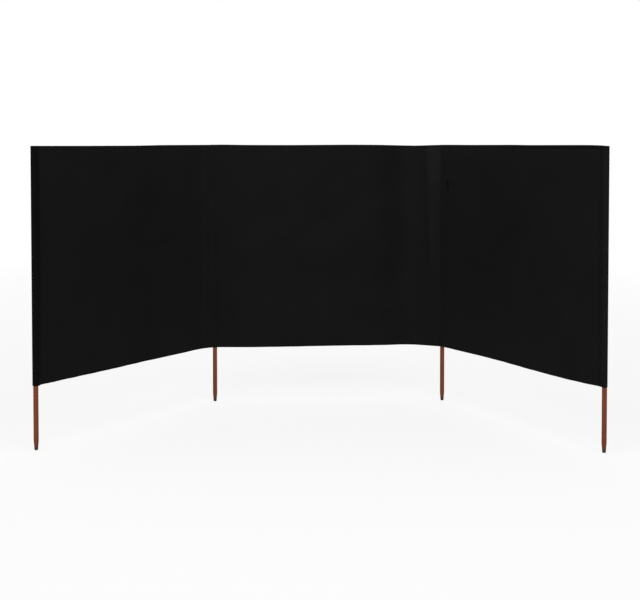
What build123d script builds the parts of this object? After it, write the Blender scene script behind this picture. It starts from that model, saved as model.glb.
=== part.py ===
# Three-bay beach windbreak: four wooden poles in the sleeves of one long cloth.
# Millimetres, +Z up. The foot of the left inner pole is the origin, +X runs to the
# right inner pole, +Y goes to the back. The outer bays are folded to the front.
import math
import os

from build123d import *

# ---- poles --------------------------------------------------------------------
pole_length = 1500.0
pole_diameter = 25.0
foot_taper = 48.0  # length of the tapered foot
foot_diameter = 17.0  # where the taper ends
foot_round = 3.0  # rounding that leaves a small flat on the foot
head_chamfer = 1.5

# ---- layout -------------------------------------------------------------------
bay_pitch = 1350.0  # pole to pole, along an outer bay
inner_pitch = 1334.0  # the inner poles stand closer, so the middle cloth is slack
left_fold = 53.4  # degrees the left bay is folded forward of straight
right_fold = 61.1

# ---- cloth --------------------------------------------------------------------
cloth_height = 1182.0  # sleeve, from its open end to its sewn top
cloth_thickness = 1.0
sleeve_diameter = 42.0  # outside of the tunnel round a pole
closure_thickness = 2.0  # the sewn plies that stop the pole
closure_chamfer = 0.8
panel_drop = 5.0  # the panels' top edge lies this much below the sleeves' top
hem_height = 25.0
hem_thickness = 1.0
tail_width = 14.0  # the sleeve's sewn margin, on the back of the panel
ply_gap = 0.05  # between plies sewn together
fold_gap = 0.4  # between a sleeve and the bay that turns round it

# How far the cloth stands off the line between two poles. Each shape gives shares of
# the pitch from the left or inner pole, and the share of the depth that is met there.
slack_deep = 98.0  # the middle bay is slack, and hangs to the back
slack_shape = ((0.25, 0.09), (0.45, 0.34), (0.65, 0.51), (0.75, 0.71), (0.83, 1.0), (0.92, 0.64))
left_bow = 26.0  # the left bay bows to the back
left_shape = ((0.10, 0.92), (0.25, 1.0), (0.50, 0.78), (0.75, 0.48))
right_bow = 23.0  # the right bay bows to the front
right_shape = ((0.20, 0.02), (0.51, 0.50), (0.77, 0.98), (0.88, 1.0))
# The cloth passes in front of a pole's axis by this much.
pole_forward = 12.0
left_seam_forward = 4.0
right_seam_forward = 10.0
seam_straight = 38.0  # straight cloth beside an end pole, where the margin is sewn

# ---- values that follow ---------------------------------------------------------
pole_radius = pole_diameter / 2
sleeve_radius = sleeve_diameter / 2
sleeve_bore = sleeve_radius - cloth_thickness
sleeve_top = pole_length + closure_thickness
cloth_bottom = sleeve_top - cloth_height
panel_top = sleeve_top - panel_drop
panel_height = panel_top - cloth_bottom
hem_offset = cloth_thickness / 2 + ply_gap + hem_thickness / 2
tail_reach = sleeve_radius + tail_width

left_inner_axis = (0.0, 0.0)
right_inner_axis = (inner_pitch, 0.0)
left_end_axis = (
    -bay_pitch * math.cos(math.radians(left_fold)),
    -bay_pitch * math.sin(math.radians(left_fold)),
)
right_end_axis = (
    inner_pitch + bay_pitch * math.cos(math.radians(right_fold)),
    -bay_pitch * math.sin(math.radians(right_fold)),
)

# A bay's own plane: X runs along the bay away from its inner pole, Y to the side,
# Z up. The panels and hems of the outer bays are drawn in it.
left_bay_plane = Plane(
    origin=(0, 0, 0),
    x_dir=(left_end_axis[0], left_end_axis[1], 0),
    z_dir=(0, 0, 1),
)
right_bay_plane = Plane(
    origin=(inner_pitch, 0, 0),
    x_dir=(right_end_axis[0] - inner_pitch, right_end_axis[1], 0),
    z_dir=(0, 0, 1),
)
outer_start = sleeve_radius + fold_gap
hem_start = outer_start + tail_width
hem_stop = math.hypot(tail_reach, max(left_seam_forward, right_seam_forward)) + ply_gap
top_hem_low = panel_top - hem_height
bottom_hem_low = cloth_bottom


# ---- poles: turned in one go, then set out on their axes ---------------------------
with BuildPart() as left_inner_pole:
    with BuildSketch(Plane.XZ):
        with BuildLine():
            Polyline(
                (0, 0),
                (foot_diameter / 2, 0),
                (pole_radius, foot_taper),
                (pole_radius, pole_length - head_chamfer),
                (pole_radius - head_chamfer, pole_length),
                (0, pole_length),
                close=True,
            )
        make_face()
    revolve(axis=Axis.Z)
    fillet(left_inner_pole.edges().sort_by(Axis.Z)[0], radius=foot_round)

with BuildPart() as right_inner_pole:
    with Locations((*right_inner_axis, 0)):
        add(left_inner_pole.part)

with BuildPart() as left_end_pole:
    with Locations((*left_end_axis, 0)):
        add(left_inner_pole.part)

with BuildPart() as right_end_pole:
    with Locations((*right_end_axis, 0)):
        add(left_inner_pole.part)

# ---- inner sleeves: round tunnels, with nothing on the side of the turning bay ------
with BuildPart() as left_inner_sleeve:
    with BuildSketch(Plane.XY.offset(cloth_bottom)):
        Circle(sleeve_radius)
        Circle(sleeve_bore, mode=Mode.SUBTRACT)
    extrude(amount=pole_length - cloth_bottom)

with BuildPart() as right_inner_sleeve:
    with Locations((*right_inner_axis, 0)):
        add(left_inner_sleeve.part)

# ---- closures: the sewn plies across a sleeve's top, which the pole stands against ----
with BuildPart() as left_inner_closure:
    with BuildSketch(Plane.XY.offset(pole_length)):
        Circle(sleeve_radius)
    extrude(amount=closure_thickness)
    chamfer(left_inner_closure.edges().sort_by(Axis.Z)[-1], length=closure_chamfer)

with BuildPart() as right_inner_closure:
    with Locations((*right_inner_axis, 0)):
        add(left_inner_closure.part)

with BuildPart() as left_end_closure:
    with Locations((*left_end_axis, 0)):
        add(left_inner_closure.part)

with BuildPart() as right_end_closure:
    with Locations((*right_end_axis, 0)):
        add(left_inner_closure.part)

# ---- end sleeves: the cloth's end turned back round the pole and sewn to the panel ----
# The tail is the sewn margin. It lies on the back of the panel.
tail_offset = cloth_thickness + ply_gap
with BuildPart() as left_end_sleeve:
    with BuildSketch(left_bay_plane.offset(cloth_bottom)):
        with Locations((bay_pitch, 0)):
            Circle(sleeve_radius)
        with Locations((bay_pitch - tail_reach / 2, left_seam_forward - tail_offset)):
            Rectangle(tail_reach, cloth_thickness)
        with Locations((bay_pitch, 0)):
            Circle(sleeve_bore, mode=Mode.SUBTRACT)
    extrude(amount=pole_length - cloth_bottom)

with BuildPart() as right_end_sleeve:
    with BuildSketch(right_bay_plane.offset(cloth_bottom)):
        with Locations((bay_pitch, 0)):
            Circle(sleeve_radius)
        with Locations((bay_pitch - tail_reach / 2, tail_offset - right_seam_forward)):
            Rectangle(tail_reach, cloth_thickness)
        with Locations((bay_pitch, 0)):
            Circle(sleeve_bore, mode=Mode.SUBTRACT)
    extrude(amount=pole_length - cloth_bottom)

# ---- outer panels: swept along the line in which the cloth hangs ----------------------
# A line is drawn as if its bay ran along +X from the origin, and is then laid along
# the bay. In the left bay's plane the back is -Y, in the right bay's it is +Y. Each
# panel is cut clear of the inner sleeve it turns round, and to its own end sleeve.
with BuildLine() as left_hang:
    Spline(
        (0, 0),
        *[(bay_pitch * along, -left_bow * depth) for along, depth in left_shape],
        (bay_pitch - seam_straight, left_seam_forward),
        tangents=((1, -0.3), (1, 0)),
    )
    Line((bay_pitch - seam_straight, left_seam_forward), (bay_pitch, left_seam_forward))
left_line = left_hang.wires()[0].moved(left_bay_plane.location)
left_start = Plane(
    origin=left_line @ 0,
    x_dir=Vector(0, 0, 1).cross(left_line % 0),  # toward the front
    z_dir=left_line % 0,
)

with BuildLine() as right_hang:
    Spline(
        (0, -pole_forward),
        *[(bay_pitch * along, -right_bow * depth) for along, depth in right_shape],
        (bay_pitch - seam_straight, -right_seam_forward),
        tangents=((1, 0), (1, 0)),
    )
    Line((bay_pitch - seam_straight, -right_seam_forward), (bay_pitch, -right_seam_forward))
right_line = right_hang.wires()[0].moved(right_bay_plane.location)
right_start = Plane(
    origin=right_line @ 0,
    x_dir=Vector(0, 0, 1).cross(right_line % 0),  # toward the back
    z_dir=right_line % 0,
)

with BuildPart() as left_panel:
    with BuildSketch(left_start):
        with Locations((0, cloth_bottom + panel_height / 2)):
            Rectangle(cloth_thickness, panel_height)
    sweep(path=left_line)
    with Locations((0, 0, cloth_bottom)):
        Cylinder(
            outer_start,
            panel_height,
            align=(Align.CENTER, Align.CENTER, Align.MIN),
            mode=Mode.SUBTRACT,
        )
    with Locations((*left_end_axis, cloth_bottom)):
        Cylinder(
            sleeve_radius,
            panel_height,
            align=(Align.CENTER, Align.CENTER, Align.MIN),
            mode=Mode.SUBTRACT,
        )

with BuildPart() as right_panel:
    with BuildSketch(right_start):
        with Locations((0, cloth_bottom + panel_height / 2)):
            Rectangle(cloth_thickness, panel_height)
    sweep(path=right_line)
    with Locations((*right_inner_axis, cloth_bottom)):
        Cylinder(
            outer_start,
            panel_height,
            align=(Align.CENTER, Align.CENTER, Align.MIN),
            mode=Mode.SUBTRACT,
        )
    with Locations((*right_end_axis, cloth_bottom)):
        Cylinder(
            sleeve_radius,
            panel_height,
            align=(Align.CENTER, Align.CENTER, Align.MIN),
            mode=Mode.SUBTRACT,
        )

# ---- outer hems: folded plies on the back of the panels, along the same lines ---------
with BuildPart() as left_top_hem:
    with BuildSketch(left_start):
        with Locations((-hem_offset, panel_top - hem_height / 2)):
            Rectangle(hem_thickness, hem_height)
    sweep(path=left_line)
    with Locations((0, 0, top_hem_low)):
        Cylinder(
            hem_start,
            hem_height,
            align=(Align.CENTER, Align.CENTER, Align.MIN),
            mode=Mode.SUBTRACT,
        )
    with Locations((*left_end_axis, top_hem_low)):
        Cylinder(
            hem_stop,
            hem_height,
            align=(Align.CENTER, Align.CENTER, Align.MIN),
            mode=Mode.SUBTRACT,
        )

with BuildPart() as left_bottom_hem:
    with Locations((0, 0, bottom_hem_low - top_hem_low)):
        add(left_top_hem.part)

with BuildPart() as right_top_hem:
    with BuildSketch(right_start):
        with Locations((hem_offset, panel_top - hem_height / 2)):
            Rectangle(hem_thickness, hem_height)
    sweep(path=right_line)
    with Locations((*right_inner_axis, top_hem_low)):
        Cylinder(
            hem_start,
            hem_height,
            align=(Align.CENTER, Align.CENTER, Align.MIN),
            mode=Mode.SUBTRACT,
        )
    with Locations((*right_end_axis, top_hem_low)):
        Cylinder(
            hem_stop,
            hem_height,
            align=(Align.CENTER, Align.CENTER, Align.MIN),
            mode=Mode.SUBTRACT,
        )

with BuildPart() as right_bottom_hem:
    with Locations((0, 0, bottom_hem_low - top_hem_low)):
        add(right_top_hem.part)

# ---- middle panel: slack cloth swept along a curve, cut to the two sleeves ------------
with BuildLine() as slack_hang:
    Spline(
        (0, -pole_forward),
        *[(inner_pitch * along, slack_deep * depth) for along, depth in slack_shape],
        (inner_pitch, 0),
        tangents=((1, 0.06), (0.7, -1)),
    )
slack_line = slack_hang.wires()[0]
slack_start = Plane(
    origin=slack_line @ 0,
    x_dir=Vector(0, 0, 1).cross(slack_line % 0),  # toward the back
    z_dir=slack_line % 0,
)

with BuildPart() as middle_panel:
    with BuildSketch(slack_start):
        with Locations((0, cloth_bottom + panel_height / 2)):
            Rectangle(cloth_thickness, panel_height)
    sweep(path=slack_line)
    with Locations((0, 0, cloth_bottom), (*right_inner_axis, cloth_bottom)):
        Cylinder(
            sleeve_radius,
            panel_height,
            align=(Align.CENTER, Align.CENTER, Align.MIN),
            mode=Mode.SUBTRACT,
        )

# Its hems follow the same curve on the back, and stop short of the sleeves.
with BuildPart() as middle_top_hem:
    with BuildSketch(slack_start):
        with Locations((hem_offset, panel_top - hem_height / 2)):
            Rectangle(hem_thickness, hem_height)
    sweep(path=slack_line)
    with Locations((0, 0, top_hem_low), (*right_inner_axis, top_hem_low)):
        Cylinder(
            tail_reach,
            hem_height,
            align=(Align.CENTER, Align.CENTER, Align.MIN),
            mode=Mode.SUBTRACT,
        )

with BuildPart() as middle_bottom_hem:
    with Locations((0, 0, bottom_hem_low - top_hem_low)):
        add(middle_top_hem.part)

# ---- labels and export ----------------------------------------------------------------
left_end_pole.part.label = "left_end_pole"
left_end_sleeve.part.label = "left_end_sleeve"
left_end_closure.part.label = "left_end_closure"
left_panel.part.label = "left_panel"
left_top_hem.part.label = "left_top_hem"
left_bottom_hem.part.label = "left_bottom_hem"
left_inner_pole.part.label = "left_inner_pole"
left_inner_sleeve.part.label = "left_inner_sleeve"
left_inner_closure.part.label = "left_inner_closure"
middle_panel.part.label = "middle_panel"
middle_top_hem.part.label = "middle_top_hem"
middle_bottom_hem.part.label = "middle_bottom_hem"
right_inner_pole.part.label = "right_inner_pole"
right_inner_sleeve.part.label = "right_inner_sleeve"
right_inner_closure.part.label = "right_inner_closure"
right_panel.part.label = "right_panel"
right_top_hem.part.label = "right_top_hem"
right_bottom_hem.part.label = "right_bottom_hem"
right_end_pole.part.label = "right_end_pole"
right_end_sleeve.part.label = "right_end_sleeve"
right_end_closure.part.label = "right_end_closure"

os.makedirs("parts", exist_ok=True)
export_step(left_end_pole.part, "parts/left_end_pole.step")
export_step(left_end_sleeve.part, "parts/left_end_sleeve.step")
export_step(left_end_closure.part, "parts/left_end_closure.step")
export_step(left_panel.part, "parts/left_panel.step")
export_step(left_top_hem.part, "parts/left_top_hem.step")
export_step(left_bottom_hem.part, "parts/left_bottom_hem.step")
export_step(left_inner_pole.part, "parts/left_inner_pole.step")
export_step(left_inner_sleeve.part, "parts/left_inner_sleeve.step")
export_step(left_inner_closure.part, "parts/left_inner_closure.step")
export_step(middle_panel.part, "parts/middle_panel.step")
export_step(middle_top_hem.part, "parts/middle_top_hem.step")
export_step(middle_bottom_hem.part, "parts/middle_bottom_hem.step")
export_step(right_inner_pole.part, "parts/right_inner_pole.step")
export_step(right_inner_sleeve.part, "parts/right_inner_sleeve.step")
export_step(right_inner_closure.part, "parts/right_inner_closure.step")
export_step(right_panel.part, "parts/right_panel.step")
export_step(right_top_hem.part, "parts/right_top_hem.step")
export_step(right_bottom_hem.part, "parts/right_bottom_hem.step")
export_step(right_end_pole.part, "parts/right_end_pole.step")
export_step(right_end_sleeve.part, "parts/right_end_sleeve.step")
export_step(right_end_closure.part, "parts/right_end_closure.step")
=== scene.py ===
import math

import bpy
import numpy as np
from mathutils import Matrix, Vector


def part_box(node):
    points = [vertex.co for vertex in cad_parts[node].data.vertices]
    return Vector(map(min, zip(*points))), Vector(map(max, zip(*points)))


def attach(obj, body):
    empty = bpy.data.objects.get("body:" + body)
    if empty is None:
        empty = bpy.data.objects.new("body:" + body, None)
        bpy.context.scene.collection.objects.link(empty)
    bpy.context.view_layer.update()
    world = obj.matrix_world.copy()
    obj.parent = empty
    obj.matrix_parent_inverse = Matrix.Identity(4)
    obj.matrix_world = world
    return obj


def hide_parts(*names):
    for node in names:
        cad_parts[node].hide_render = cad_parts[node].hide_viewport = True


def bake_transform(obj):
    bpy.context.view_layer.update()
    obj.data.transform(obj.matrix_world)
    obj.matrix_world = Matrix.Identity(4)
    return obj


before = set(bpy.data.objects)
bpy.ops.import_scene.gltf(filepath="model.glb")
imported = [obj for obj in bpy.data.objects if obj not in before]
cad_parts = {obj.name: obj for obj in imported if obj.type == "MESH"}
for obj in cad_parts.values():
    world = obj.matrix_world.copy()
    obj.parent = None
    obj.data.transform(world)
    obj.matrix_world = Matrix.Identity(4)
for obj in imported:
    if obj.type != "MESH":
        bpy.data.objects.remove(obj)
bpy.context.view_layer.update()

bl_info = {
    "name": "Beach Windbreak",
    "version": (1, 0, 0),
    "blender": (4, 5, 0),
    "location": "View3D > Sidebar > Windbreak",
    "description": "Dresses a beach windbreak: hung cloth, pole tunnels, stitching and stained poles",
    "category": "Add Mesh",
}

MM = 0.001


def linear(code):
    """A colour written as sRGB hex, as linear red, green, blue and alpha."""
    parts = [int(code[i : i + 2], 16) / 255 for i in (1, 3, 5)]
    return [p / 12.92 if p <= 0.04045 else ((p + 0.055) / 1.055) ** 2.4 for p in parts] + [1.0]


def colour_property(name, description, code):
    return bpy.props.FloatVectorProperty(
        name=name, description=description, default=linear(code), size=4, min=0.0, max=1.0, subtype="COLOR"
    )


def length_property(name, description, millimetres):
    return bpy.props.FloatProperty(
        name=name, description=description, default=millimetres * MM, min=0.0, unit="LENGTH", precision=4
    )


class WINDBREAK_PG_cloth(bpy.types.PropertyGroup):
    thickness: length_property("Thickness", "Thickness of the non-woven cloth", 0.6)
    ply_gap: length_property("Ply gap", "Between the middles of two plies sewn together", 1.2)
    hem: length_property("Hem", "Height of the folded hem", 25)
    hem_stitch: length_property("Hem stitch", "From the folded edge to the row of stitches", 22)
    cloth_colour: colour_property("Cloth", "Colour of the dyed fibres", "#101010")
    cloud_colour: colour_property("Thin places", "Colour where the fibres lie thinner", "#131313")
    # This darker colour is painted shade, laid where the cloth lies in shade: the left end's tunnel, the
    # folded hem edges, the top hem near the right end and narrow folds.
    doubled_colour: colour_property("Doubled cloth", "Colour where two plies let no light through", "#070707")
    # This paler colour is painted light: a painted highlight beside the right inner pole and at the right
    # end, and lighter corners beside the inner poles.
    drawn_colour: colour_property("Drawn cloth", "Colour where pulling has paled the fibres", "#171717")
    thread_colour: colour_property("Thread", "Colour of the sewing thread", "#121213")
    stitch_pitch: length_property("Stitch pitch", "From one stitch to the next", 4.5)
    stitch_length: length_property("Stitch length", "Thread that shows between two needle holes", 3.4)
    thread_diameter: length_property("Thread diameter", "Diameter of the sewing thread", 0.55)


class WINDBREAK_PG_pole(bpy.types.PropertyGroup):
    stain_colour: colour_property("Stain", "Colour of the stained wood", "#763B22")
    grain_colour: colour_property("Grain", "Colour of the stain in the open grain", "#482417")
    pale_colour: colour_property("Pale streaks", "Colour where the stain took less", "#814A31")
    foot_colour: colour_property("Foot", "Colour of the end grain on the cut foot", "#38261F")


class WINDBREAK_PG_stage(bpy.types.PropertyGroup):
    floor_colour: colour_property("Floor", "Colour of the studio floor", "#F4F4F3")
    floor_size: bpy.props.FloatProperty(
        name="Floor size", description="Side of the square floor", default=160.0, min=10.0, unit="LENGTH"
    )
    lens: bpy.props.FloatProperty(name="Lens", description="Focal length in mm", default=66.5, min=10.0)


# ---------------------------------------------------------------- the frame


def middle_of(node):
    low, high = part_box(node)
    return np.array([(low.x + high.x) / 2, (low.y + high.y) / 2])


def unit(v):
    return v / np.linalg.norm(v)


def left_of(v):
    return np.array([-v[1], v[0]])


AXIS = {side: middle_of(side + "_pole") for side in ("left_end", "left_inner", "right_inner", "right_end")}
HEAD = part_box("left_inner_pole")[1].z
CLOTH_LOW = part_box("left_inner_sleeve")[0].z
CLOTH_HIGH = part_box("middle_panel")[1].z
CLOTH_HEIGHT = CLOTH_HIGH - CLOTH_LOW


class Bay:
    """A bay's own plan frame, in metres: u runs out from its first pole, w runs to the back."""

    def __init__(self, first, last, back):
        self.origin, self.length = AXIS[first], np.linalg.norm(AXIS[last] - AXIS[first])
        self.along = unit(AXIS[last] - AXIS[first])
        self.back = left_of(self.along) * back

    def point(self, u, w):
        """The plan point u, w, given in millimetres."""
        return self.origin + self.along * u * MM + self.back * w * MM

    def points(self, pairs):
        return [self.point(u, w) for u, w in pairs]


LEFT = Bay("left_inner", "left_end", -1)
MIDDLE = Bay("left_inner", "right_inner", 1)
RIGHT = Bay("right_inner", "right_end", 1)
JOIN = 47 * MM  # where one length of cloth meets the next


# ---------------------------------------------------------------- the cloth's line, seen from above


def wrapped(centre, radius, start, end, degrees_apart=18):
    """Plan points from start, anticlockwise round the pole at centre, to end."""
    towards, away = start - centre, end - centre
    lead = [math.acos(min(1.0, radius / np.linalg.norm(v))) for v in (towards, away)]
    begin = math.atan2(towards[1], towards[0]) + lead[0]
    sweep = (math.atan2(away[1], away[0]) - lead[1] - begin) % math.tau
    if sweep > math.radians(330):  # the cloth passes clear of the pole
        return [start, end]
    turns = max(2, round(math.degrees(sweep) / degrees_apart) + 1)
    angles = begin + np.linspace(0, sweep, turns)
    return [start] + [centre + radius * np.array([math.cos(a), math.sin(a)]) for a in angles] + [end]


def blurred(values, width):
    """Columns of evenly spaced values, smoothed over width samples, with the ends carried straight on."""
    reach = int(4 * width)
    weights = np.exp(-0.5 * (np.arange(-reach, reach + 1) / width) ** 2)
    steps = np.arange(reach, 0, -1)[:, None]
    before = values[0] - steps * (values[1] - values[0])
    after = values[-1] + steps[::-1] * (values[-1] - values[-2])
    padded = np.concatenate([before, values, after])
    return np.stack([np.convolve(c, weights / weights.sum(), "valid") for c in padded.T], axis=1)


class Line:
    """A cloth's plan line: points every millimetre, smoothed closely near a pole and widely along a bay."""

    def __init__(self, points, marks):
        corners = np.array(points)
        at = np.concatenate([[0], np.cumsum(np.linalg.norm(np.diff(corners, axis=0), axis=1))])
        even = np.linspace(0, at[-1], int(at[-1] / MM) + 1)
        raw = np.stack([np.interp(even, at, corners[:, i]) for i in (0, 1)], axis=1)
        from_pole = np.min([np.linalg.norm(raw - a, axis=1) for a in AXIS.values()], axis=0)
        wide = smooth(from_pole, 45 * MM, 160 * MM)[:, None]
        self.xy = blurred(raw, 2.5) * (1 - wide) + blurred(raw, 32) * wide
        self.s = np.concatenate([[0], np.cumsum(np.linalg.norm(np.diff(self.xy, axis=0), axis=1))])
        heading = np.gradient(self.xy, self.s, axis=0)
        heading /= np.linalg.norm(heading, axis=1)[:, None]
        self.back = np.stack([-heading[:, 1], heading[:, 0]], axis=1)
        self.mark = {name: float(np.interp(at[i], even, self.s)) for name, i in marks.items()}

    def at(self, s):
        return np.stack([np.interp(s, self.s, self.xy[:, i]) for i in (0, 1)], axis=-1)

    def back_at(self, s):
        n = np.stack([np.interp(s, self.s, self.back[:, i]) for i in (0, 1)], axis=-1)
        return n / np.linalg.norm(n, axis=-1)[..., None]


def smooth(x, low, high):
    t = np.clip((x - low) / (high - low), 0, 1)
    return t * t * (3 - 2 * t)


def span_mm(bay):
    return bay.length / MM


# In millimetres: the tunnels' radii, and the distance between the plies at a seam, where both are hemmed.
LOOSE = 18.5  # at the left end
SNUG = 15.4  # at the inner poles
TIGHT = 14.8  # at the right end
FOLDED = 3.4

SEAMS = {  # the rows of stitches beside each pole, as u and w in their bays, in mm
    "left_end": (span_mm(LEFT) - 30, -4.0),
    "left_of_left": (30, 0.5),
    "right_of_left": (30, -13.5),
    "left_of_right": (span_mm(MIDDLE) - 29, 6.7),
    "right_of_right": (30, -12.3),
    "right_end": (span_mm(RIGHT) - 24, -10.0),
}


def main_line():
    """The front cloth, from its free edge behind the left pole to its free edge behind the right one."""
    points, marks = [], {}

    def add(new, mark=None):
        if mark:
            marks[mark] = len(points)
        points.extend(new)

    u, w = SEAMS["left_end"]
    folded, front = LEFT.point(u, w + FOLDED), LEFT.point(u, w)
    loop = wrapped(LEFT.point(span_mm(LEFT) - 3, 0), LOOSE * MM, folded, front)
    add([LEFT.point(u - 12, w + FOLDED)])
    add(loop[:-1], "left_end_back")
    add(loop[-1:], "left_end")
    add(LEFT.points([(1278, -4), (1150, 2), (960, 12), (750, 17), (500, 24), (300, 25), (150, 27)]))
    add(LEFT.points([(85, 22), (55, 11.5)]))
    add([LEFT.point(*SEAMS["left_of_left"])], "left_of_left")
    add(MIDDLE.points([(8, -15.5)]))
    add([MIDDLE.point(*SEAMS["right_of_left"])], "right_of_left")
    add(MIDDLE.points([(47, -13), (80, -11), (130, -7), (200, -1), (338, 11), (478, 23)]))
    add(MIDDLE.points([(619, 33), (760, 42), (902, 52), (996, 66), (1055, 84), (1105, 100)]))
    add(MIDDLE.points([(1150, 102), (1192, 88), (1235, 58), (1272, 31)]))
    add([MIDDLE.point(*SEAMS["left_of_right"])], "left_of_right")
    add(MIDDLE.points([(span_mm(MIDDLE) - 17, -3), (span_mm(MIDDLE) - 7.5, -15)]))
    add([RIGHT.point(*SEAMS["right_of_right"])], "right_of_right")
    add(RIGHT.points([(52, -11.8), (90, -9.5), (170, -4), (265, 0), (450, -2), (630, -10)]))
    add(RIGHT.points([(800, -17), (970, -23), (1120, -26), (1230, -22), (1290, -14)]))
    u, w = SEAMS["right_end"]
    front, folded = RIGHT.point(u, w), RIGHT.point(u, w + FOLDED)
    loop = wrapped(RIGHT.point(span_mm(RIGHT) - 0.4, 0), TIGHT * MM, front, folded)
    add(loop[:-1], "right_end")
    add(loop[-1:], "right_end_back")
    add([RIGHT.point(u - 12, w + FOLDED)])
    return Line(points, marks)


CLOTH_LINE = main_line()
SEAM_MARGIN = 12 * MM  # a strip's edge stands this far beyond its row of stitches
BEHIND = {  # the seams of the front cloth that hold each strip, from its first edge to its last
    "left": ("right_of_left", "left_of_left"),
    "right": ("right_of_right", "left_of_right"),
}


def strip_line(side):
    """The strip that holds an inner pole against the cloth: from its first edge, behind the pole, to its
    last. Both edges lie against the back of the cloth."""
    s0, s1 = (CLOTH_LINE.mark[seam] for seam in BEHIND[side])
    at = np.array([s0 + SEAM_MARGIN, s0, s1, s1 - SEAM_MARGIN])
    begin, near, far, end = CLOTH_LINE.at(at) + CLOTH_LINE.back_at(at) * FOLDED * MM
    loop = wrapped(AXIS[side + "_inner"], SNUG * MM, near, far)
    return Line([begin] + loop + [end], {"first": 1, "last": len(loop)})


STRIPS = {side: strip_line(side) for side in BEHIND}


# ---------------------------------------------------------------- how the cloth hangs


def crease(across, up, start, end, width, depth):
    """A soft fold from start to end, given as distance along the cloth and height, fading at both ends."""
    (x0, z0), (x1, z1) = start, end
    run = np.array([x1 - x0, z1 - z0])
    t = ((across - x0) * run[0] + (up - z0) * run[1]) / (run @ run)
    off = ((across - x0) * run[1] - (up - z0) * run[0]) / np.linalg.norm(run)
    spread = width * (0.55 + 0.9 * np.clip(t, 0, 1))
    return depth * np.exp(-((off / spread) ** 2)) * smooth(t, -0.15, 0.3) * (1 - smooth(t, 0.75, 1.1))


def waves(across, up, seed, shortest, longest, count=14):
    """Gentle unevenness, at most about 1, from crossed waves between two lengths in metres."""
    draw = np.random.default_rng(seed)
    total = np.zeros(np.broadcast(across, up).shape)
    for _ in range(count):
        length, turn = draw.uniform(shortest, longest), draw.uniform(0, math.tau)
        phase = draw.uniform(0, math.tau)
        total += np.sin(math.tau / length * (across * math.cos(turn) + up * math.sin(turn)) + phase)
    return total / math.sqrt(count) / 1.4


# In millimetres, beyond a seam: the distance along the cloth, then how far its top and bottom edges run above
# their usual level.
EDGES = {
    "left_end": (
        (0, 4.3, 0.5),
        (300, 3.2, -2.8),
        (550, 3.0, -3.6),
        (720, 2.8, -2.0),
        (900, 5.2, -3.0),
        (1294, 5.2, -0.4),
    ),
    "right_of_left": (
        (0, 7.0, 0.2),
        (155, 4.6, -3.3),
        (385, 3.8, -4.4),
        (770, 6.0, -2.6),
        (924, 5.2, -4.2),
        (1155, -0.2, -7.4),
        (1309, 4.6, -1.8),
    ),
    "right_of_right": (
        (0, 5.8, 0.5),
        (250, 5.4, -0.4),
        (620, 7.5, 2.6),
        (760, 6.4, 0.3),
        (1200, 8.6, 2.4),
        (1297, 7.4, 3.2),
    ),
    "right_end_back": ((-45, 3.5, 3.2), (0, 3.0, 3.0)),
}


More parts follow.
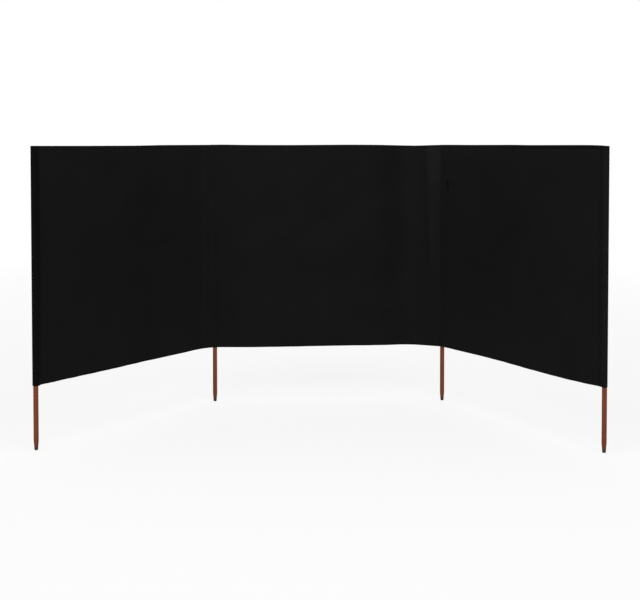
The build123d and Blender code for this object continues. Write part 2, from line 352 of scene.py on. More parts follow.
class Hang:
    """How far the cloth stands behind its plan line, and how high its top and bottom edges run."""

    def __init__(self, line):
        self.mark = line.mark
        self.seams = [line.mark[seam] for seam in SEAMS]
        runs = [(line.mark[seam] + d * MM, t * MM, b * MM) for seam, run in EDGES.items() for d, t, b in run]
        at, high, low = zip(*runs)
        self.grid = np.linspace(0, line.s[-1], 800)
        rise = [np.interp(self.grid, at, v) for v in (low, high)]
        self.rise = blurred(np.stack(rise, axis=1), 6)

    def edges(self, s):
        """The heights of the bottom and top edges."""
        low, high = self.rise.T
        return CLOTH_LOW + np.interp(s, self.grid, low), CLOTH_HIGH + np.interp(s, self.grid, high)

    def depth(self, s, z):
        """Metres towards the back, for arrays of distance along the cloth and height."""
        a, b, c, d, e, f = self.seams
        left, middle, right = (
            smooth(s, start + 0.012, start + 0.11) * (1 - smooth(s, end - 0.11, end - 0.012))
            for start, end in ((a, b), (c, d), (e, f))
        )
        out = left * self.left_folds(s - a, z)
        out = out + middle * self.middle_folds(s - c, z) + right * self.right_folds(s - e, z)
        free = np.exp(-((z - CLOTH_LOW) / 0.05)) + 0.45 * np.exp(-(CLOTH_HIGH - z) / 0.04)
        ripple = waves(s, 0 * z, 5, 0.07, 0.19) * free * 0.0016
        from_edge = np.minimum(z - CLOTH_LOW, CLOTH_HIGH - z)
        pucker = waves(s, z, 11, 0.028, 0.045, 8) * 0.00035 * np.exp(-((from_edge / 0.03) ** 2))
        inside = np.maximum(np.maximum(left, middle), right)
        out = out + inside * (ripple + pucker + waves(s, z, 3, 0.16, 0.5) * 0.0016)
        return out + self.pole_creases(s, z)

    def pole_creases(self, s, z):
        """The narrow upright creases where the cloth is pulled in at the poles."""
        _, b, _, d, e, f = self.seams
        back = self.mark["left_end_back"]
        return (
            crease(s, z, (b + 0.028, 0.79), (b + 0.028, 1.27), 0.003, 0.0022)
            + crease(s, z, (b + 0.026, 0.86), (b + 0.026, 0.30), 0.010, 0.0022)
            + crease(s, z, (b + 0.003, 1.00), (b + 0.003, 0.25), 0.010, -0.0020)
            + crease(s, z, (b + 0.050, 1.00), (b + 0.050, 0.25), 0.012, -0.0020)
            + crease(s, z, (e - 0.022, 0.30), (e + 0.014, 1.56), 0.0055, 0.0022)
            + crease(s, z, (e + 0.001, 1.05), (e + 0.004, 1.60), 0.006, -0.0016)
            + crease(s, z, (d - 0.050, 0.80), (d - 0.060, 1.60), 0.026, -0.0060)
            + crease(s, z, (back + 0.078, 0.28), (back + 0.076, 1.55), 0.003, 0.0012)
            + crease(s, z, (f - 0.008, 0.10), (f - 0.008, 1.55), 0.0045, -0.0009)
            + crease(s, z, (f + 0.009, 0.10), (f + 0.009, 1.55), 0.0045, -0.0016)
            + crease(s, z, (f + 0.027, 0.10), (f + 0.027, 1.55), 0.0050, -0.0018)
        )

    def drawn(self, s, z):
        """Painted light, from 0 to 1: a painted highlight, strongest on a strip beside the right inner pole
        towards its top, a little in broad bands beside both inner poles, lifting the shade of the corners,
        and a painted highlight at the right end."""
        _, b, _, d, e, f = self.seams
        beside = smooth(s, d - 0.100, d - 0.050) * (1 - smooth(s, d + 0.014, d + 0.030))
        pole_highlight = beside * (0.3 * smooth(z, 0.5, 1.0) + 0.7 * smooth(z, 1.20, 1.36))
        corner_light = (
            0.38 * smooth(s, b - 0.55, b - 0.17) * (1 - smooth(s, b - 0.06, b))
            + 0.19 * smooth(s, d - 0.35, d - 0.20) * (1 - smooth(s, e - 0.03, e))
            + 0.34 * smooth(s, e - 0.03, e) * (1 - smooth(s, e, e + 0.62))
        )
        at_end = 0.7 * np.exp(-(((s - f - 0.026) / 0.0045) ** 2)) * (0.35 + 0.65 * smooth(z, 1.05, 1.35))
        return np.clip(pole_highlight + corner_light + at_end, 0, 1)

    def groove_shade(self, s, z):
        """Painted shade in the narrow folds, from 0 to 1: two beside the right end's row of stitches, and the
        pinch beside the right inner pole."""
        pole, row = self.mark["right_of_right"], self.mark["right_end"]
        beside_row = sum(0.45 * np.exp(-(((s - row - d * MM) / 0.0035) ** 2)) for d in (-5, 12))
        return beside_row + crease(s, z, (pole + 0.0255, 1.315), (pole + 0.041, 1.228), 0.008, 1.0)

    def left_folds(self, x, z):
        return (
            crease(x, z, (0.12, 0.55), (1.20, 1.30), 0.10, 0.0045)
            + crease(x, z, (0.05, 0.85), (0.95, 1.42), 0.07, -0.0030)
            + crease(x, z, (0.35, 0.36), (1.30, 0.95), 0.08, -0.0035)
        )

    def middle_folds(self, x, z):
        return (
            crease(x, z, (0.15, 0.78), (1.22, 1.40), 0.085, 0.0065)
            + crease(x, z, (0.10, 0.55), (1.10, 1.20), 0.10, -0.0040)
            + crease(x, z, (0.62, 0.38), (1.26, 0.90), 0.07, 0.0040)
        )

    def right_folds(self, x, z):
        return (
            crease(x, z, (1.22, 0.50), (0.10, 1.36), 0.10, 0.0050)
            + crease(x, z, (1.20, 0.95), (0.25, 1.44), 0.08, -0.0030)
            + crease(x, z, (0.015, 1.290), (0.085, 1.245), 0.008, 0.0075)
            + crease(x, z, (0.020, 1.320), (0.100, 1.290), 0.016, -0.0030)
        )


HANG = Hang(CLOTH_LINE)


def on_cloth(s, z, off):
    """Points on the front cloth: distance along it, height, and distance behind it, all in metres."""
    back = CLOTH_LINE.back_at(s)
    xy = CLOTH_LINE.at(s) + back * (HANG.depth(s, z) + off)[..., None]
    return np.concatenate([xy, z[..., None]], axis=-1)


# ---------------------------------------------------------------- making meshes


def activate(obj):
    bpy.ops.object.select_all(action="DESELECT")
    obj.select_set(True)
    bpy.context.view_layer.objects.active = obj
    return obj


def flat_grid(name, across, up):
    """A flat cut of cloth with a line of vertices at each distance and its UV map in metres, and the column
    and row of each of its vertices."""
    bpy.ops.object.select_all(action="DESELECT")
    bpy.ops.mesh.primitive_grid_add(x_subdivisions=len(across) - 1, y_subdivisions=len(up) - 1, size=1.0)
    cloth = bpy.context.object
    cloth.name = cloth.data.name = name
    co = np.zeros(len(cloth.data.vertices) * 3)
    cloth.data.vertices.foreach_get("co", co)
    co = co.reshape(-1, 3)
    column = np.rint((co[:, 0] + 0.5) * (len(across) - 1)).astype(int)
    row = np.rint((co[:, 1] + 0.5) * (len(up) - 1)).astype(int)
    if len(co) != len(across) * len(up):
        raise RuntimeError(f"{name}: the grid has {len(co)} vertices")
    corner = np.zeros(len(cloth.data.loops), int)
    cloth.data.loops.foreach_get("vertex_index", corner)
    flat = np.stack([np.array(across)[column], np.array(up)[row]], axis=1)
    cloth.data.uv_layers[0].data.foreach_set("uv", flat[corner].ravel())
    return cloth, column, row


def place(obj, points):
    obj.data.vertices.foreach_set("co", np.asarray(points, float).ravel())
    obj.data.update()


def apply_modifier(obj, kind, **settings):
    activate(obj)
    modifier = obj.modifiers.new(kind.title(), kind)
    for key, value in settings.items():
        setattr(modifier, key, value)
    bpy.ops.object.modifier_apply(modifier=modifier.name)


def finish_cloth(obj, thickness, material, **shares):
    """Gives a cut its thickness and material. shares hold what that reads at each vertex, from 0 to 1."""
    for name, share in shares.items():
        attribute = obj.data.attributes.new(name, "FLOAT", "POINT")
        attribute.data.foreach_set("value", np.asarray(share, np.float32))
    apply_modifier(obj, "SOLIDIFY", thickness=thickness, offset=0.0, use_rim=True)
    activate(obj)
    bpy.ops.object.shade_smooth_by_angle(angle=math.radians(50))
    obj.data.materials.clear()
    obj.data.materials.append(material)
    obj.select_set(False)


def steps(start, end, spacing):
    """Distances from start to end, about spacing apart, with both ends."""
    return list(np.linspace(start, end, max(1, round((end - start) / spacing)) + 1))


def stations(start, end, fine_at, fine=2.4 * MM, coarse=7.5 * MM, reach=42 * MM):
    """Distances from start to end: close together near the poles, wider along a bay."""
    out, s = [start], start
    while s < end - 1e-9:
        near = min(abs(s - c) for c in fine_at)
        s += fine + (coarse - fine) * float(smooth(near, reach, reach + 0.09))
        out.append(s)
    scale = (end - start) / (out[-1] - start)
    return [start + (x - start) * scale for x in out]


def swell(d, middle, height, reach):
    """A smooth rise at a middle distance, gone at about twice its reach; height and reach in millimetres."""
    return height * MM * math.exp(-(((d - middle) / (reach * MM)) ** 2))


def front_relief(cloth, d):
    """How far a hemmed cloth's front ply lies back, at a distance from the folded edge: its stitches draw it
    in, and it puffs out on both sides of them."""
    row = cloth.hem_stitch
    return swell(d, row, 1.1, 3) - swell(d, 0.45 * row, 0.5, 6) - swell(d, row + 7 * MM, 0.4, 4.5)


def hem_relief(cloth, d):
    """The same for the hem's own ply behind it: squeezed at the stitches and puffed before them."""
    row = cloth.hem_stitch
    return front_relief(cloth, d) - swell(d, row, 0.55, 2.5) + swell(d, 0.45 * row, 0.5, 6)


def cloth_rows(cloth):
    """The rows of a hemmed cloth, from the bottom hem's free edge, round both folds, to the top hem's: each
    row's flat distance, its share of the height, its distance behind the plan line, and the relief there."""
    gap, hem, row = cloth.ply_gap, cloth.hem, cloth.hem_stitch
    beside = [row - 3 * MM, row - 1.2 * MM, row, row + 1.2 * MM, hem]
    heights = [0.06 * hem, 0.15 * hem, 0.3 * hem, 0.5 * hem, 0.7 * hem] + beside
    lower = [(d, gap, hem_relief(cloth, d)) for d in heights[::-1]]
    turns = np.linspace(0, math.pi, 7)
    lower += [(gap / 2 * (1 - math.sin(a)), gap / 2 * (1 + math.cos(a)), 0.0) for a in turns]
    heights += [hem + beyond * MM for beyond in (2.5, 5.5, 9, 14)]
    lower += [(d, 0.0, front_relief(cloth, d)) for d in heights]
    start = heights[-1] + 9 * MM
    middle = [(d, 0.0, 0.0) for d in steps(start, CLOTH_HEIGHT - start, 10.4 * MM)]
    rows = np.array(lower + middle + [(CLOTH_HEIGHT - d, off, relief) for d, off, relief in lower[::-1]])
    flat = np.concatenate([[0], np.cumsum(np.hypot(np.diff(rows[:, 0]), np.diff(rows[:, 1])))])
    return flat, rows[:, 0] / CLOTH_HEIGHT, rows[:, 1], rows[:, 2]


def in_bay(s):
    """1 along the bays and 0 at the poles, where the cloth lies close against other plies."""
    inside = 14 * MM, 28 * MM
    bays = zip(HANG.seams[::2], HANG.seams[1::2])
    return sum(smooth(s - start, *inside) * smooth(end - s, *inside) for start, end in bays)


def from_edges(share):
    """Metres from the nearer of the cloth's top and bottom edges."""
    return np.minimum(share, 1 - share) * CLOTH_HEIGHT


def settled(share, from_margin, cloth):
    """How much further back a sewn margin lies between the hems, where it is against one ply and not two."""
    margin = 1 - smooth(from_margin, 10 * MM, 16 * MM)
    between = smooth(from_edges(share), 26 * MM, 60 * MM)
    return margin * between * (FOLDED * MM - cloth.ply_gap)


def fold_edge_shade(share):
    """1 at the folded edges and 0 beyond them: painted shade along the folds."""
    return 1 - smooth(from_edges(share), 3 * MM, 9 * MM)


def hung_cloth(name, start, end, cloth, material):
    """One length of the front cloth between two distances along its line."""
    across = np.array(stations(start, end, CLOTH_LINE.mark.values()))
    up, share, off, relief = cloth_rows(cloth)
    obj, column, row = flat_grid(name, across, up)
    s, t = across[column], share[row]
    low, high = HANG.edges(s)
    z = low + (high - low) * t
    settle = settled(t, np.minimum(s, CLOTH_LINE.s[-1] - s), cloth)
    place(obj, on_cloth(s, z, off[row] + relief[row] * in_bay(s) + settle))
    m = CLOTH_LINE.mark
    # Painted shade in the darker colour: over the front of the left end's tunnel, which turns away from the
    # light, over the top hem of the right bay's outer half, along the folded hem edges and in the narrow
    # folds. Painted light in the paler colour: where the cloth is lit more beside the poles.
    turn, seam = (m["left_end_back"] + m["left_end"]) / 2, m["left_end"]
    tunnel = smooth(s, turn - 8 * MM, turn + 6 * MM) * (1 - smooth(s, seam - 4 * MM, seam + 4 * MM))
    right_hem_shade = smooth(s - m["right_of_right"], 0.45, 0.75) * smooth((1 - t) * CLOTH_HEIGHT, 25 * MM, 17 * MM)
    doubled = np.clip(tunnel + 0.5 * right_hem_shade + 0.8 * fold_edge_shade(t) + HANG.groove_shade(s, z), 0, 1)
    finish_cloth(obj, cloth.thickness, material, doubled=doubled, drawn=HANG.drawn(s, z))
    return obj, (float(across[-1] - across[0]), float(up[-1] - up[0]))


def pole_strip(side, cloth, material):
    """The strip behind an inner pole."""
    line, along = STRIPS[side], [CLOTH_LINE.mark[seam] for seam in BEHIND[side]]
    total, seams = line.s[-1], line.mark.values()
    across = np.array(steps(0, total, 2.4 * MM))
    up, share, off, _ = cloth_rows(cloth)
    obj, column, row = flat_grid(side + "_pole_strip", across, up)
    s, t = across[column], share[row]
    front = np.interp(s, [0, *seams, total], [along[0] + SEAM_MARGIN, *along, along[1] - SEAM_MARGIN])
    low, high = HANG.edges(front)
    z = low + (high - low) * t
    from_side = np.minimum(s, total - s)
    slack = waves(s, z, 23, 0.08, 0.3) * 0.0006 * smooth(from_side, 16 * MM, 30 * MM)
    followed = HANG.depth(front, z) * (1 - smooth(from_side, 12 * MM, 18 * MM))
    xy = line.at(s)
    xy += line.back_at(s) * (off[row] + settled(t, from_side, cloth) - np.abs(slack) - followed)[:, None]
    place(obj, np.column_stack([xy, z]))
    # Painted shade along the strip's folded hem edges.
    finish_cloth(obj, cloth.thickness, material, doubled=0.8 * fold_edge_shade(t))
    return obj, (float(total), float(up[-1]))


# ---------------------------------------------------------------- stitches and tunnel tops


def one_stitch(cloth):
    """One stitch along X: a short rounded length of thread that arches down into its needle holes."""
    bpy.ops.object.select_all(action="DESELECT")
    bpy.ops.mesh.primitive_uv_sphere_add(
        segments=6, ring_count=5, radius=cloth.thread_diameter / 2, rotation=(0, math.pi / 2, 0)
    )
    bpy.ops.object.transform_apply(location=False, rotation=True, scale=False)
    bpy.ops.object.mode_set(mode="EDIT")
    bpy.ops.mesh.select_all(action="SELECT")
    bpy.ops.transform.resize(value=(cloth.stitch_length / cloth.thread_diameter, 1.0, 1.0))
    bpy.ops.object.mode_set(mode="OBJECT")
    stitch = bpy.context.object
    for v in stitch.data.vertices:
        v.co.z -= cloth.thread_diameter * 0.55 * (2 * v.co.x / cloth.stitch_length) ** 2
    return stitch


def stitch_row(cloth, length):
    """A straight row of stitches along X, starting at 0: the vertices' places, and the object."""
    stitch = one_stitch(cloth)
    count = int(length / cloth.stitch_pitch)
    apply_modifier(
        stitch,
        "ARRAY",
        count=count,
        use_relative_offset=False,
        use_constant_offset=True,
        constant_offset_displace=(cloth.stitch_pitch, 0, 0),
    )
    co = np.zeros(len(stitch.data.vertices) * 3)
    stitch.data.vertices.foreach_get("co", co)
    co = co.reshape(-1, 3)
    co[:, 0] += (length - (count - 1) * cloth.stitch_pitch) / 2
    return stitch, co


def sewn(name, rows, cloth):
    """Joins laid rows of stitches into one piece."""
    bpy.ops.object.select_all(action="DESELECT")
    for row in rows:
        row.select_set(True)
    bpy.context.view_layer.objects.active = rows[0]
    bpy.ops.object.join()
    thread = bpy.context.object
    thread.name = thread.data.name = name
    bpy.ops.object.shade_smooth()
    thread.data.materials.clear()
    thread.data.materials.append(shared("black_polyester_thread", cloth))
    thread.select_set(False)
    return thread


def hem_row(cloth, start, end, top, behind):
    """A row along a hem of the front cloth: on its front, or behind it on the hem's own ply."""
    row, co = stitch_row(cloth, end - start)
    s = start + co[:, 0]
    low, high = HANG.edges(s)
    z = (high - cloth.hem_stitch if top else low + cloth.hem_stitch) + co[:, 1]
    if behind:
        gap, relief, side = cloth.ply_gap, hem_relief, 1
    else:
        gap, relief, side = 0.0, front_relief, -1
    ply = gap + relief(cloth, cloth.hem_stitch) * in_bay(s)
    place(row, on_cloth(s, z, ply + side * (cloth.thickness / 2 + co[:, 2])))
    return row


def seam_stitches(cloth, seam):
    """A straight row of stitches, ready to go up a seam: the object, how far each vertex lies beside the seam
    and out from it, and its height. seam is a distance along the front cloth."""
    short = 2 * MM  # from the row's ends to the cloth's edges
    row, co = stitch_row(cloth, CLOTH_HEIGHT - 2 * short)
    low, high = HANG.edges(seam)
    return row, co[:, 1], cloth.thickness / 2 + co[:, 2], low + short + co[:, 0] * (high - low) / CLOTH_HEIGHT


def upright_row(cloth, s):
    """A row up the outside of the front cloth at a seam."""
    row, beside, out, z = seam_stitches(cloth, s)
    place(row, on_cloth(s + beside, z, -out))
    return row


def strip_row(cloth, line, s, front):
    """A row up the back of a pole strip, at one of its seams. front is the front cloth's distance there."""
    row, beside, out, z = seam_stitches(cloth, front)
    followed = HANG.depth(np.full(len(z), front), z)
    xy = line.at(s + beside) + line.back_at(s + beside) * (-out - followed)[:, None]
    place(row, np.column_stack([xy, z]))
    return row


def tunnel_top(name, pole, around, seam, top, cloth, material):
    """The closed top of a pole's tunnel: a small lid of cloth over the pole's head, domed a little and pulled
    up to a ridge. around is the tunnel's plan outline, and seam a unit plan vector along the ridge."""
    turns = np.linspace(-math.pi, math.pi, 49)
    spokes = np.stack([np.cos(turns), np.sin(turns)], axis=1)
    rim = lid_reach(pole, spokes, around)
    shares = np.array([1.0, 0.94, 0.82, 0.66, 0.48, 0.3, 0.14, 0.0])
    obj, column, row = flat_grid(name, turns, shares)
    share = shares[row]
    xy = spokes[column] * (rim[column] * share)[:, None]
    aside = np.abs(xy @ left_of(seam))
    ridge = 0.9 * MM * np.exp(-((aside / (2.5 * MM)) ** 2))
    ridge *= (0.4 + 0.6 * share) * (1 - smooth(share, 0.9, 1.0))
    dome = (top - HEAD - 1.6 * MM) * (1 - share**6) * 0.6
    place(obj, np.column_stack([xy + AXIS[pole], HEAD + 1.0 * MM + dome + ridge]))
    activate(obj)
    bpy.ops.object.mode_set(mode="EDIT")
    bpy.ops.mesh.select_all(action="SELECT")
    bpy.ops.mesh.remove_doubles(threshold=1e-6)
    bpy.ops.mesh.normals_make_consistent(inside=False)
    bpy.ops.object.mode_set(mode="OBJECT")
    corner = np.zeros(len(obj.data.loops), int)
    obj.data.loops.foreach_get("vertex_index", corner)
    co = np.array([v.co for v in obj.data.vertices])
    obj.data.uv_layers[0].data.foreach_set("uv", (co[corner, :2] - AXIS[pole]).ravel())
    finish_cloth(obj, cloth.thickness, material)
    edge = spokes * rim[:, None]
    area = float(np.sum(edge[:-1, 0] * edge[1:, 1] - edge[1:, 0] * edge[:-1, 1])) / 2
    return obj, tuple(float(np.ptp(edge[:, i])) for i in (0, 1)), area


def lid_reach(pole, spokes, around):
    """How far a lid reaches along each spoke, smoothed round, before it comes near the tunnel's outline."""
    reach = np.arange(8.0, 27.0, 0.25) * MM
    spots = AXIS[pole] + reach[:, None, None] * spokes
    gap = np.linalg.norm(spots[:, :, None] - around, axis=3).min(axis=2)
    clear = np.logical_and.accumulate(gap > 1.9 * MM, axis=0)
    rim = reach[clear.sum(axis=0) - 1]
    count = len(rim) - 1  # the last spoke is the first again
    even = blurred(np.concatenate([rim[:-1]] * 3)[:, None], 1.2)[count : 2 * count + 1, 0]
    return np.minimum(even, rim)


# ---------------------------------------------------------------- materials


def add_node(tree, kind, inputs=None, **settings):
    """Adds a node. inputs gives its sockets, by name or number, a value or another node's output to join."""
    node = tree.nodes.new(kind)
    for key, value in settings.items():
        setattr(node, key, value)
    for key, value in (inputs or {}).items():
        if isinstance(value, bpy.types.NodeSocket):
            tree.links.new(value, node.inputs[key])
        else:
            node.inputs[key].default_value = value
    return node


def new_material(name, specular):
    """A material, its node tree, and its shader with that share of the usual highlight."""
    material = bpy.data.materials.new(name)
    material.use_nodes = True
    shader = material.node_tree.nodes["Principled BSDF"]
    shader.inputs["Specular IOR Level"].default_value = specular
    return material, material.node_tree, shader


def spunbond_polypropylene(name, cloth):
    """Non-woven polypropylene, spun and point-bonded: matt, faintly cloudy where the fibres lie thinner, and
    dimpled all over by the bonding roller. Real bonds are 1.5 mm apart; here they are 3 mm apart, to show."""
    material, tree, shader = new_material(name, 0.04)
    uv = add_node(tree, "ShaderNodeUVMap", uv_map="UVMap").outputs["UV"]
    fine = {"Vector": uv, "Scale": 42.0, "Detail": 5.0, "Roughness": 0.62}
    cloud = add_node(tree, "ShaderNodeTexNoise", fine).outputs["Fac"]
    broad = add_node(tree, "ShaderNodeTexNoise", {"Vector": uv, "Scale": 5.0, "Detail": 3.0}).outputs["Fac"]
    both = add_node(tree, "ShaderNodeMath", {0: cloud, 1: broad}, operation="MULTIPLY").outputs[0]
    thin = add_node(tree, "ShaderNodeMapRange", {"Value": both, "From Min": 0.12, "From Max": 0.42})
    # Painted light: the paler colour mixed in where the cloth is lit more.
    drawn = add_node(tree, "ShaderNodeAttribute", attribute_name="drawn")
    # Painted shade: the darker colour mixed in where the cloth lies in shade.
    doubled = add_node(tree, "ShaderNodeAttribute", attribute_name="doubled")
    colour = cloth.cloth_colour
    for share, over in (
        (thin.outputs[0], cloth.cloud_colour),
        (drawn.outputs["Fac"], cloth.drawn_colour),
        (doubled.outputs["Fac"], cloth.doubled_colour),
    ):
        mix = add_node(tree, "ShaderNodeMix", {"Factor": share, 6: colour, 7: over}, data_type="RGBA")
        colour = mix.outputs[2]
    bonds = add_node(tree, "ShaderNodeTexVoronoi", {"Vector": uv, "Scale": 333.0, "Randomness": 0.15})
    dimples = {"Height": bonds.outputs["Distance"], "Strength": 0.35, "Distance": 0.25 * MM}
    dimpled = add_node(tree, "ShaderNodeBump", dimples).outputs[0]
    hairs = {"Vector": uv, "Scale": 900.0, "Detail": 3.0, "Roughness": 0.7}
    fibre = add_node(tree, "ShaderNodeTexNoise", hairs).outputs["Fac"]
    fibres = {"Height": fibre, "Strength": 0.3, "Distance": 0.15 * MM, "Normal": dimpled}
    relief = add_node(tree, "ShaderNodeBump", fibres)
    rough = add_node(tree, "ShaderNodeMapRange", {"Value": cloud, "To Min": 0.68, "To Max": 0.84})
    tree.links.new(colour, shader.inputs["Base Color"])
    tree.links.new(rough.outputs[0], shader.inputs["Roughness"])
    tree.links.new(relief.outputs[0], shader.inputs["Normal"])
    return material


def polyester_thread(name, cloth):
    """Spun polyester sewing thread: dull, with the twist of its strands just catching the light."""
    material, tree, shader = new_material(name, 0.15)
    spot = add_node(tree, "ShaderNodeTexCoord").outputs["Object"]
    strands = {"Vector": spot, "Scale": 1400.0, "Detail": 2.0}
    twist = add_node(tree, "ShaderNodeTexNoise", strands).outputs["Fac"]
    tone = add_node(tree, "ShaderNodeMapRange", {"Value": twist, "To Min": 0.75, "To Max": 1.3}).outputs[0]
    shades = {"Factor": 1.0, 6: cloth.thread_colour, 7: tone}
    colour = add_node(tree, "ShaderNodeMix", shades, data_type="RGBA", blend_type="MULTIPLY")
    relief = add_node(tree, "ShaderNodeBump", {"Height": twist, "Strength": 0.4, "Distance": 0.1 * MM})
    tree.links.new(colour.outputs[2], shader.inputs["Base Color"])
    tree.links.new(relief.outputs[0], shader.inputs["Normal"])
    shader.inputs["Roughness"].default_value = 0.62
    return material


def stained_dowel(name, pole):
    """A turned hardwood dowel with a thin red-brown stain: long fine grain, open pores that hold more stain,
    pale streaks that took less, and dark end grain where the foot is cut to a taper. It is darker towards the
    foot. The grain lines are about 1 mm apart."""
    material, tree, shader = new_material(name, 0.14)
    spot = add_node(tree, "ShaderNodeTexCoord").outputs["Object"]
    height = add_node(tree, "ShaderNodeSeparateXYZ", {0: spot}).outputs["Z"]
    along = add_node(tree, "ShaderNodeMapping", {"Vector": spot, "Scale": (1.0, 1.0, 0.022)}).outputs[0]
    lines = {"Vector": along, "Scale": 420.0, "Detail": 5.0, "Roughness": 0.6}
    grain = add_node(tree, "ShaderNodeTexNoise", lines).outputs["Fac"]
    bands = {"Vector": along, "Scale": 95.0, "Detail": 2.0}
    streak = add_node(tree, "ShaderNodeTexNoise", bands).outputs["Fac"]
    patches = {"Vector": spot, "Scale": 3.3, "Detail": 2.0}
    patch = add_node(tree, "ShaderNodeTexNoise", patches).outputs["Fac"]
    pale = add_node(tree, "ShaderNodeMapRange", {"Value": streak, "From Min": 0.48, "From Max": 0.72})
    darkest = {"Value": grain, "From Min": 0.5, "From Max": 0.36, "To Max": 0.55}
    pores = add_node(tree, "ShaderNodeMapRange", darkest)
    tone = add_node(tree, "ShaderNodeMapRange", {"Value": patch, "To Min": 0.88, "To Max": 1.12}).outputs[0]
    # Darker towards the foot, over the lowest quarter metre of the pole.
    lowest = {"Value": height, "From Min": 0.26, "From Max": 0.05, "To Min": 0.91, "To Max": 0.80}
    foot_darkening = add_node(tree, "ShaderNodeMapRange", lowest).outputs[0]
    darker = add_node(tree, "ShaderNodeMath", {0: tone, 1: foot_darkening}, operation="MULTIPLY").outputs[0]
    ragged = add_node(tree, "ShaderNodeMath", {0: streak, 1: 0.02}, operation="MULTIPLY").outputs[0]
    level = add_node(tree, "ShaderNodeMath", {0: height, 1: ragged}, operation="ADD").outputs[0]
    tapered = {"Value": level, "From Min": 0.052, "From Max": 0.012}
    foot = add_node(tree, "ShaderNodeMapRange", tapered, interpolation_type="SMOOTHSTEP")
    colour = pole.stain_colour
    for share, over, how in (
        (pale.outputs[0], pole.pale_colour, "MIX"),
        (pores.outputs[0], pole.grain_colour, "MIX"),
        (1.0, darker, "MULTIPLY"),
        (foot.outputs[0], pole.foot_colour, "MIX"),
    ):
        layers = {"Factor": share, 6: colour, 7: over}
        colour = add_node(tree, "ShaderNodeMix", layers, data_type="RGBA", blend_type=how).outputs[2]
    rough = add_node(tree, "ShaderNodeMapRange", {"Value": grain, "To Min": 0.66, "To Max": 0.5})
    relief = add_node(tree, "ShaderNodeBump", {"Height": grain, "Strength": 0.35, "Distance": 0.3 * MM})
    tree.links.new(colour, shader.inputs["Base Color"])
    tree.links.new(rough.outputs[0], shader.inputs["Roughness"])
    tree.links.new(relief.outputs[0], shader.inputs["Normal"])
    return material


MAKERS = {
    "black_spunbond_polypropylene": spunbond_polypropylene,
    "black_polyester_thread": polyester_thread,
    "stained_hardwood_dowel": stained_dowel,
}


def shared(name, settings):
    """The material of that name, made once."""
    return bpy.data.materials.get(name) or MAKERS[name](name, settings)


# ---------------------------------------------------------------- operators


class WINDBREAK_OT_poles(bpy.types.Operator):
    """Finish the four turned poles in stained wood"""

    bl_idname = "windbreak.poles"
    bl_label = "Stain the Poles"

    def execute(self, context):
        wood = shared("stained_hardwood_dowel", context.scene.windbreak_pole)
        for side in AXIS:
            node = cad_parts[side + "_pole"]
            for slot in node.material_slots:
                slot.material = wood
            activate(node)
            node.select_set(False)
        return {"FINISHED"}


class WINDBREAK_OT_cloth(bpy.types.Operator):
    """Hang the front cloth in three lengths, hemmed along both edges and folded back round the end poles"""

    bl_idname = "windbreak.cloth"
    bl_label = "Hang the Cloth"

    def execute(self, context):
        cloth = context.scene.windbreak_cloth
        fabric = shared("black_spunbond_polypropylene", cloth)
        # The joins' own distance from a pole, less the distance of the seam beside it.
        first = CLOTH_LINE.mark["right_of_left"] + JOIN - 30 * MM
        second = CLOTH_LINE.mark["left_of_right"] - JOIN + 29 * MM
        lengths = {
            "left": (0.0, first, ["left_end_pole", "left_inner_pole"]),
            "middle": (first, second, ["left_inner_pole", "right_inner_pole"]),
            "right": (second, float(CLOTH_LINE.s[-1]), ["right_inner_pole", "right_end_pole"]),
        }
        for side, (start, end, poles) in lengths.items():
            obj, flat = hung_cloth(side + "_cloth", start, end, cloth, fabric)
            nodes = [side + "_panel", side + "_top_hem", side + "_bottom_hem"]
            if side != "middle":
                nodes += [side + "_end_sleeve"]
            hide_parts(*nodes)
            thread = sewn(side + "_stitching", self.rows(side, start, end, cloth), cloth)
            for piece in (obj, thread):
                if side == "middle":
                    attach(piece, "middle_bay")
                else:
                    blend_at_pole(piece)
        return {"FINISHED"}

    @staticmethod
    def rows(side, start, end, cloth):
        """The rows of stitches on one length: both hems, front and back, and the seams beside its poles."""
        m = CLOTH_LINE.mark
        rows = [hem_row(cloth, start, end, top, False) for top in (True, False)]
        bay = (max(start, m["left_end"]), min(end, m["right_end"]))
        rows += [hem_row(cloth, *bay, top, True) for top in (True, False)]
        uprights = {
            "left": ("left_end_back", "left_end", "left_of_left", "right_of_left"),
            "middle": (),
            "right": ("left_of_right", "right_of_right", "right_end", "right_end_back"),
        }[side]
        rows += [upright_row(cloth, m[seam]) for seam in uprights]
        if side in STRIPS:
            strip = STRIPS[side]
            pairs = zip(strip.mark.values(), BEHIND[side])
            rows += [strip_row(cloth, strip, s, m[seam]) for s, seam in pairs]
        return rows


def blend_at_pole(obj):
    """Bakes a piece's placement into its mesh. The piece spans the pole between the middle bay and an outer
    bay.
    """
    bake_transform(obj)


class WINDBREAK_OT_strips(bpy.types.Operator):
    """Sew the strips that hold the two inner poles against the back of the cloth"""

    bl_idname = "windbreak.strips"
    bl_label = "Sew the Pole Strips"

    def execute(self, context):
        cloth = context.scene.windbreak_cloth
        fabric = shared("black_spunbond_polypropylene", cloth)
        for side in STRIPS:
            obj, flat = pole_strip(side, cloth, fabric)
            blend_at_pole(obj)
            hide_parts(side + "_inner_sleeve")
        return {"FINISHED"}


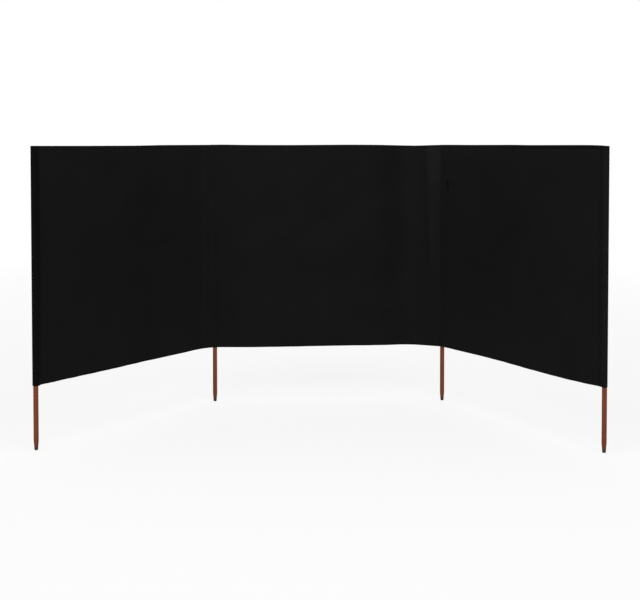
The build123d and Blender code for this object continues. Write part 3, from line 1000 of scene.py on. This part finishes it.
class WINDBREAK_OT_tops(bpy.types.Operator):
    """Close the tops of the four pole tunnels with small lids of cloth"""

    bl_idname = "windbreak.tops"
    bl_label = "Close the Tunnel Tops"

    def execute(self, context):
        cloth = context.scene.windbreak_cloth
        fabric = shared("black_spunbond_polypropylene", cloth)
        m = CLOTH_LINE.mark
        ends = {
            "left_end": ((m["left_end_back"], m["left_end"]), None, LEFT),
            "left_inner": ((m["left_of_left"], m["right_of_left"]), STRIPS["left"], MIDDLE),
            "right_inner": ((m["left_of_right"], m["right_of_right"]), STRIPS["right"], MIDDLE),
            "right_end": ((m["right_end"], m["right_end_back"]), None, RIGHT),
        }
        for pole, ((start, end), strip, bay) in ends.items():
            around = CLOTH_LINE.at(np.linspace(start, end, 200))
            if strip:
                around = np.concatenate([around, strip.at(np.linspace(*strip.mark.values(), 200))])
            top = float(HANG.edges((start + end) / 2)[1])
            obj, flat, area = tunnel_top(pole + "_tunnel_top", pole, around, bay.along, top, cloth, fabric)
            if strip:
                blend_at_pole(obj)
            else:
                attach(obj, pole.split("_")[0] + "_bay")
            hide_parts(pole + "_closure")
        return {"FINISHED"}


class WINDBREAK_OT_stage(bpy.types.Operator):
    """Lay the pale floor, light it softly and set up the camera"""

    bl_idname = "windbreak.stage"
    bl_label = "Set the Stage"

    def execute(self, context):
        stage = context.scene.windbreak_stage
        self.floor(stage)
        self.light(context.scene)
        self.camera(context.scene, stage)
        return {"FINISHED"}

    def floor(self, stage):
        bpy.ops.object.select_all(action="DESELECT")
        bpy.ops.mesh.primitive_plane_add(size=stage.floor_size)
        floor = bpy.context.object
        floor.name = "studio_floor"
        material, tree, shader = new_material("pale_studio_floor", 0.0)
        shader.inputs["Base Color"].default_value = stage.floor_colour
        shader.inputs["Roughness"].default_value = 0.95
        spot = add_node(tree, "ShaderNodeTexCoord").outputs["Object"]
        far = add_node(tree, "ShaderNodeVectorMath", {0: spot}, operation="LENGTH").outputs["Value"]
        fading = {"Value": far, "From Min": 3.0, "From Max": 9.0, "To Min": 0.75, "To Max": 1.0}
        fade = add_node(tree, "ShaderNodeMapRange", fading, interpolation_type="SMOOTHSTEP").outputs[0]
        share = add_node(tree, "ShaderNodeMath", {0: self.seen_directly(tree), 1: fade}, operation="MULTIPLY")
        white = add_node(tree, "ShaderNodeEmission", {"Strength": 1.0})
        sources = {0: share.outputs[0], 1: shader.outputs[0], 2: white.outputs[0]}
        mix = add_node(tree, "ShaderNodeMixShader", sources)
        tree.links.new(mix.outputs[0], tree.nodes["Material Output"].inputs["Surface"])
        floor.data.materials.append(material)

    @staticmethod
    def seen_directly(tree):
        """1 for what the camera sees, directly or in a gloss or through glass."""
        path = add_node(tree, "ShaderNodeLightPath").outputs
        seen = path["Is Camera Ray"]
        for ray in ("Is Glossy Ray", "Is Transmission Ray"):
            seen = add_node(tree, "ShaderNodeMath", {0: seen, 1: path[ray]}, operation="MAXIMUM").outputs[0]
        return seen

    def light(self, scene):
        world = bpy.data.worlds.new("studio_surround")
        scene.world = world
        world.use_nodes = True
        tree = world.node_tree
        around = tree.nodes["Background"]
        around.inputs["Color"].default_value = linear("#FFFFFF")
        around.inputs["Strength"].default_value = 0.56
        white = add_node(tree, "ShaderNodeBackground", {"Color": linear("#FFFFFF"), "Strength": 1.0})
        sources = {0: self.seen_directly(tree), 1: around.outputs[0], 2: white.outputs[0]}
        mix = add_node(tree, "ShaderNodeMixShader", sources)
        tree.links.new(mix.outputs[0], tree.nodes["World Output"].inputs["Surface"])
        centre = Vector((0.6, -0.4, 0.9))  # about the middle of the windbreak, where the lamps aim
        for name, spot, size, power in (
            ("left_softbox", (-7.0, -11.5, 8.0), 5.0, 640.0),
            ("right_softbox", (7.0, -12.5, 8.0), 5.0, 610.0),
            ("top_softbox", (0.6, -0.8, 5.4), 4.0, 50.0),
            ("back_softbox", (0.2, 6.0, 3.6), 3.2, 60.0),
        ):
            data = bpy.data.lights.new(name, "AREA")
            data.shape, data.size, data.energy = "SQUARE", size, power
            lamp = bpy.data.objects.new(name, data)
            scene.collection.objects.link(lamp)
            lamp.location = spot
            lamp.rotation_euler = (centre - Vector(spot)).to_track_quat("-Z", "Y").to_euler()

    def camera(self, scene, stage):
        data = bpy.data.cameras.new("studio_camera")
        data.lens, data.sensor_width = stage.lens, 36.0
        data.shift_y = -0.1851  # keeps the poles nearly upright while the windbreak stands low in view
        data.clip_end = 400.0
        camera = bpy.data.objects.new("studio_camera", data)
        scene.collection.objects.link(camera)
        camera.location = (0.4975, -6.898, 1.529)
        camera.rotation_euler = (math.radians(88.0), 0.0, math.radians(-0.98))
        scene.camera = camera
        scene.view_settings.view_transform = "Standard"


class WINDBREAK_PT_panel(bpy.types.Panel):
    """The windbreak's pieces, in the order they are made"""

    bl_idname = "WINDBREAK_PT_panel"
    bl_label = "Beach Windbreak"
    bl_space_type = "VIEW_3D"
    bl_region_type = "UI"
    bl_category = "Windbreak"

    def draw(self, context):
        for operator in OPERATORS:
            self.layout.operator(operator.bl_idname)


OPERATORS = (
    WINDBREAK_OT_stage,
    WINDBREAK_OT_poles,
    WINDBREAK_OT_cloth,
    WINDBREAK_OT_strips,
    WINDBREAK_OT_tops,
)
GROUPS = {
    "windbreak_cloth": WINDBREAK_PG_cloth,
    "windbreak_pole": WINDBREAK_PG_pole,
    "windbreak_stage": WINDBREAK_PG_stage,
}


def register():
    for item in (*GROUPS.values(), *OPERATORS, WINDBREAK_PT_panel):
        bpy.utils.register_class(item)
    for name, group in GROUPS.items():
        setattr(bpy.types.Scene, name, bpy.props.PointerProperty(type=group))


def unregister():
    for name in GROUPS:
        delattr(bpy.types.Scene, name)
    for item in reversed((*GROUPS.values(), *OPERATORS, WINDBREAK_PT_panel)):
        bpy.utils.unregister_class(item)


def main():
    register()
    bpy.ops.windbreak.stage()
    bpy.ops.windbreak.poles()
    bpy.ops.windbreak.cloth()
    bpy.ops.windbreak.strips()
    bpy.ops.windbreak.tops()


if __name__ == "__main__":
    main()
